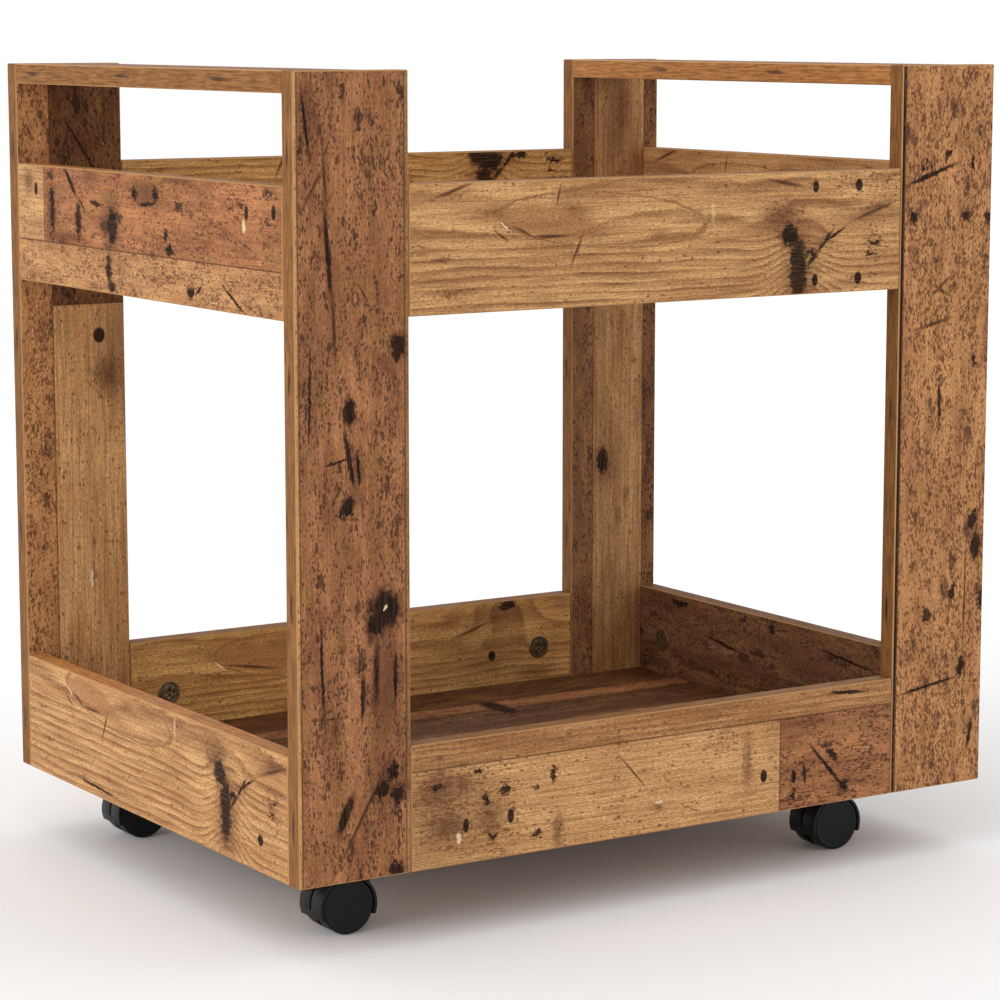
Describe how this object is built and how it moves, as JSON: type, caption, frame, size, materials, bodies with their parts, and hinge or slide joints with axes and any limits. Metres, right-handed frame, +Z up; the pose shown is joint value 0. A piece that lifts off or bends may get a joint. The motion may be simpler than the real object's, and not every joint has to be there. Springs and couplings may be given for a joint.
{
  "type": "tray trolley",
  "caption": "Rolling trolley of wood-look boards: an upper and a lower tray between flat uprights, a grab board at each end, and hooded swivel casters.",
  "frame": {"origin": "on the floor, under the middle of the trolley's footprint", "axes": "+X to the right along the length, +Y to the rear across the depth, +Z up"},
  "size_m": [0.6, 0.45, 0.601],
  "materials": {
    "post_wood": "satin printed laminate, dark reclaimed-wood look, vertical grain",
    "rail_wood": "satin printed laminate, honey reclaimed-wood patchwork",
    "shelf_wood": "satin printed laminate, dark brown streaks",
    "zinc": "dull die-cast zinc",
    "steel": "bright zinc-plated",
    "black_plastic": "satin black nylon"
  },
  "bodies": {
    "trolley": {"post_front_left": "post_wood", "post_front_right": "post_wood", "post_rear_left": "post_wood", "post_rear_right": "post_wood", "long_rail_lower_front": "rail_wood", "long_rail_lower_rear": "rail_wood", "long_rail_upper_front": "rail_wood", "long_rail_upper_rear": "rail_wood", "side_rail_lower_left": "rail_wood", "side_rail_lower_right": "rail_wood", "side_rail_upper_left": "rail_wood", "side_rail_upper_right": "rail_wood", "handle_left": "rail_wood", "handle_right": "rail_wood", "shelf_lower": "shelf_wood", "shelf_upper": "shelf_wood", "cam_long_lower_front_left": "zinc", "cam_long_lower_front_right": "zinc", "cam_long_lower_rear_left": "zinc", "cam_long_lower_rear_right": "zinc", "cam_long_upper_front_left": "zinc", "cam_long_upper_front_right": "zinc", "cam_long_upper_rear_left": "zinc", "cam_long_upper_rear_right": "zinc", "cam_side_lower_left_front": "zinc", "cam_side_lower_left_rear": "zinc", "cam_side_lower_right_front": "zinc", "cam_side_lower_right_rear": "zinc", "cam_side_upper_left_front": "zinc", "cam_side_upper_left_rear": "zinc", "cam_side_upper_right_front": "zinc", "cam_side_upper_right_rear": "zinc", "cam_handle_left_front": "zinc", "cam_handle_left_rear": "zinc", "cam_handle_right_front": "zinc", "cam_handle_right_rear": "zinc", "mounting_plate_front_left": "steel", "kingpin_front_left": "steel", "mounting_plate_front_right": "steel", "kingpin_front_right": "steel", "mounting_plate_rear_left": "steel", "kingpin_rear_left": "steel", "mounting_plate_rear_right": "steel", "kingpin_rear_right": "steel"},
    "caster_front_left": {"hood_front_left": "black_plastic", "axle_front_left": "steel"},
    "wheel_outer_front_left": {"wheel_outer_front_left": "black_plastic"},
    "wheel_inner_front_left": {"wheel_inner_front_left": "black_plastic"},
    "caster_front_right": {"hood_front_right": "black_plastic", "axle_front_right": "steel"},
    "wheel_outer_front_right": {"wheel_outer_front_right": "black_plastic"},
    "wheel_inner_front_right": {"wheel_inner_front_right": "black_plastic"},
    "caster_rear_left": {"hood_rear_left": "black_plastic", "axle_rear_left": "steel"},
    "wheel_outer_rear_left": {"wheel_outer_rear_left": "black_plastic"},
    "wheel_inner_rear_left": {"wheel_inner_rear_left": "black_plastic"},
    "caster_rear_right": {"hood_rear_right": "black_plastic", "axle_rear_right": "steel"},
    "wheel_outer_rear_right": {"wheel_outer_rear_right": "black_plastic"},
    "wheel_inner_rear_right": {"wheel_inner_rear_right": "black_plastic"}
  },
  "joints": [
    {"name": "swivel_front_left", "type": "hinge", "parent": "trolley", "child": "caster_front_left", "pos_m": [-0.217, -0.16, 0.045], "axis": [0, 0, 1], "continuous": true},
    {"name": "roll_outer_front_left", "type": "hinge", "parent": "caster_front_left", "child": "wheel_outer_front_left", "pos_m": [-0.233, -0.1686, 0.02], "axis": [0, 1, 0], "continuous": true},
    {"name": "roll_inner_front_left", "type": "hinge", "parent": "caster_front_left", "child": "wheel_inner_front_left", "pos_m": [-0.233, -0.1514, 0.02], "axis": [0, 1, 0], "continuous": true},
    {"name": "swivel_front_right", "type": "hinge", "parent": "trolley", "child": "caster_front_right", "pos_m": [0.217, -0.16, 0.045], "axis": [0, 0, 1], "continuous": true},
    {"name": "roll_outer_front_right", "type": "hinge", "parent": "caster_front_right", "child": "wheel_outer_front_right", "pos_m": [0.201, -0.1686, 0.02], "axis": [0, 1, 0], "continuous": true},
    {"name": "roll_inner_front_right", "type": "hinge", "parent": "caster_front_right", "child": "wheel_inner_front_right", "pos_m": [0.201, -0.1514, 0.02], "axis": [0, 1, 0], "continuous": true},
    {"name": "swivel_rear_left", "type": "hinge", "parent": "trolley", "child": "caster_rear_left", "pos_m": [-0.217, 0.16, 0.045], "axis": [0, 0, 1], "continuous": true},
    {"name": "roll_outer_rear_left", "type": "hinge", "parent": "caster_rear_left", "child": "wheel_outer_rear_left", "pos_m": [-0.233, 0.1514, 0.02], "axis": [0, 1, 0], "continuous": true},
    {"name": "roll_inner_rear_left", "type": "hinge", "parent": "caster_rear_left", "child": "wheel_inner_rear_left", "pos_m": [-0.233, 0.1686, 0.02], "axis": [0, 1, 0], "continuous": true},
    {"name": "swivel_rear_right", "type": "hinge", "parent": "trolley", "child": "caster_rear_right", "pos_m": [0.217, 0.16, 0.045], "axis": [0, 0, 1], "continuous": true},
    {"name": "roll_outer_rear_right", "type": "hinge", "parent": "caster_rear_right", "child": "wheel_outer_rear_right", "pos_m": [0.201, 0.1514, 0.02], "axis": [0, 1, 0], "continuous": true},
    {"name": "roll_inner_rear_right", "type": "hinge", "parent": "caster_rear_right", "child": "wheel_inner_rear_right", "pos_m": [0.201, 0.1686, 0.02], "axis": [0, 1, 0], "continuous": true}
  ]
}
